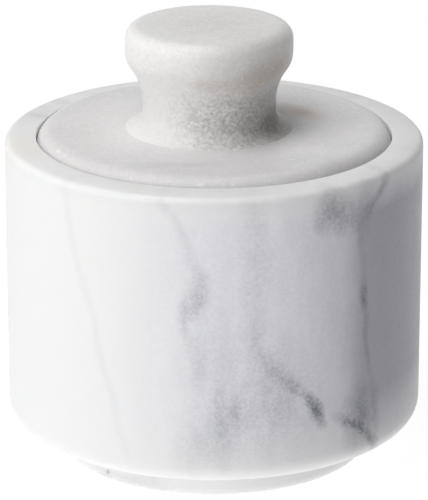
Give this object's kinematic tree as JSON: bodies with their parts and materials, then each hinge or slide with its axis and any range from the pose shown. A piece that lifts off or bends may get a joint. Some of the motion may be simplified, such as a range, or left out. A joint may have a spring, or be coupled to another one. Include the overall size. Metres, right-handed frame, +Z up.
{
  "type": "salt cellar",
  "caption": "Turned white marble salt cellar: a footed round pot with a deep bowl, a lift-off lid seated inside the rim, and a waisted knob bonded to the lid.",
  "frame": {"origin": "centre of the foot's underside, on the table", "axes": "+Z up along the pot's axis; -Y faces the viewer of the picture; +X is to that viewer's right"},
  "size_m": [0.095, 0.095, 0.1],
  "materials": {
    "pot_marble": "honed white marble with grey veins",
    "lid_marble": "honed light grey marble",
    "knob_marble": "honed marble with a coarse, sparkling grain"
  },
  "bodies": {
    "pot": {"pot": "pot_marble"},
    "lid": {"lid": "lid_marble", "knob": "knob_marble"}
  },
  "joints": [
    {"name": "lid_lift", "type": "slide", "parent": "pot", "child": "lid", "axis": [0, 0, 1], "range_m": [0, 0.1]}
  ]
}
